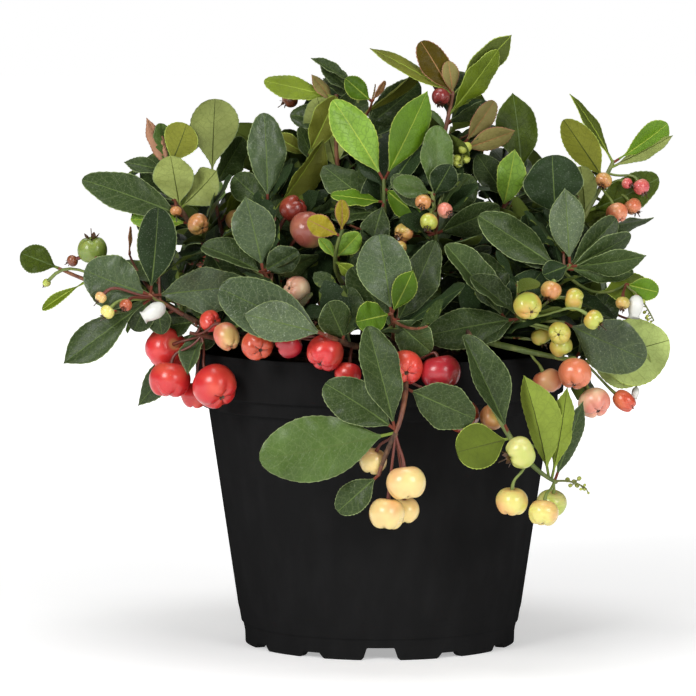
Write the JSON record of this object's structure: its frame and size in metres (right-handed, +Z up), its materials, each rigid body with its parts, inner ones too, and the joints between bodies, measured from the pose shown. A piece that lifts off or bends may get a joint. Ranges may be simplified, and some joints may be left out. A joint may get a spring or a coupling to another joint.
{
  "type": "potted wintergreen",
  "caption": "Low evergreen shrub with glossy leaves and round berries, growing from a short stem in a tapered round nursery pot that it hangs over.",
  "frame": {"origin": "centre of the flat pad in the middle of the pot's underside, at the level that the pot stands on", "axes": "+Z up along the pot's axis; -Y towards the front of the plant, where the berries hang over the rim; +X to the right seen from the front"},
  "size_m": [0.2067, 0.1695, 0.1956],
  "materials": {
    "pot_plastic": "near-black moulded plastic, satin, with fine rub marks",
    "soil": "dark damp peat with bark crumbs",
    "bark": "thin reddish-brown bark, matt, with fine ridges",
    "foliage": "leathery dark green leaves with a soft sheen, among red to cream berries"
  },
  "bodies": {
    "root": {"bough_back_centre": "bark", "bough_back_crest_left": "bark", "bough_back_crest_right": "bark", "bough_back_hanging": "bark", "bough_back_left": "bark", "bough_back_low_left": "bark", "bough_back_low_right": "bark", "bough_back_right": "bark", "bough_centre_right": "bark", "bough_front_centre": "bark", "bough_front_hanging": "bark", "bough_front_left": "bark", "bough_hero_centre": "bark", "bough_left": "bark", "bough_left_middle": "bark", "bough_left_side": "bark", "bough_right_crest": "bark", "bough_right_front": "bark", "bough_right_hanging": "bark", "bough_right_low": "bark", "bough_right_side": "bark", "bough_right_tall": "bark", "bough_right_upper": "bark", "bough_tall_left": "bark", "bough_top_centre": "bark", "bough_top_left": "bark", "bough_top_right": "bark", "bough_upper_left": "bark", "crown": "bark", "foliage_back_centre": "foliage", "foliage_back_crest_left": "foliage", "foliage_back_crest_right": "foliage", "foliage_back_hanging": "foliage", "foliage_back_left": "foliage", "foliage_back_low_left": "foliage", "foliage_back_low_right": "foliage", "foliage_back_right": "foliage", "foliage_centre_right": "foliage", "foliage_front_centre": "foliage", "foliage_front_hanging": "foliage", "foliage_front_left": "foliage", "foliage_hero_centre": "foliage", "foliage_left": "foliage", "foliage_left_middle": "foliage", "foliage_left_side": "foliage", "foliage_right_crest": "foliage", "foliage_right_front": "foliage", "foliage_right_hanging": "foliage", "foliage_right_low": "foliage", "foliage_right_side": "foliage", "foliage_right_tall": "foliage", "foliage_right_upper": "foliage", "foliage_tall_left": "foliage", "foliage_top_centre": "foliage", "foliage_top_left": "foliage", "foliage_top_right": "foliage", "foliage_upper_left": "foliage", "pot": "pot_plastic", "soil": "soil"}
  },
  "joints": []
}
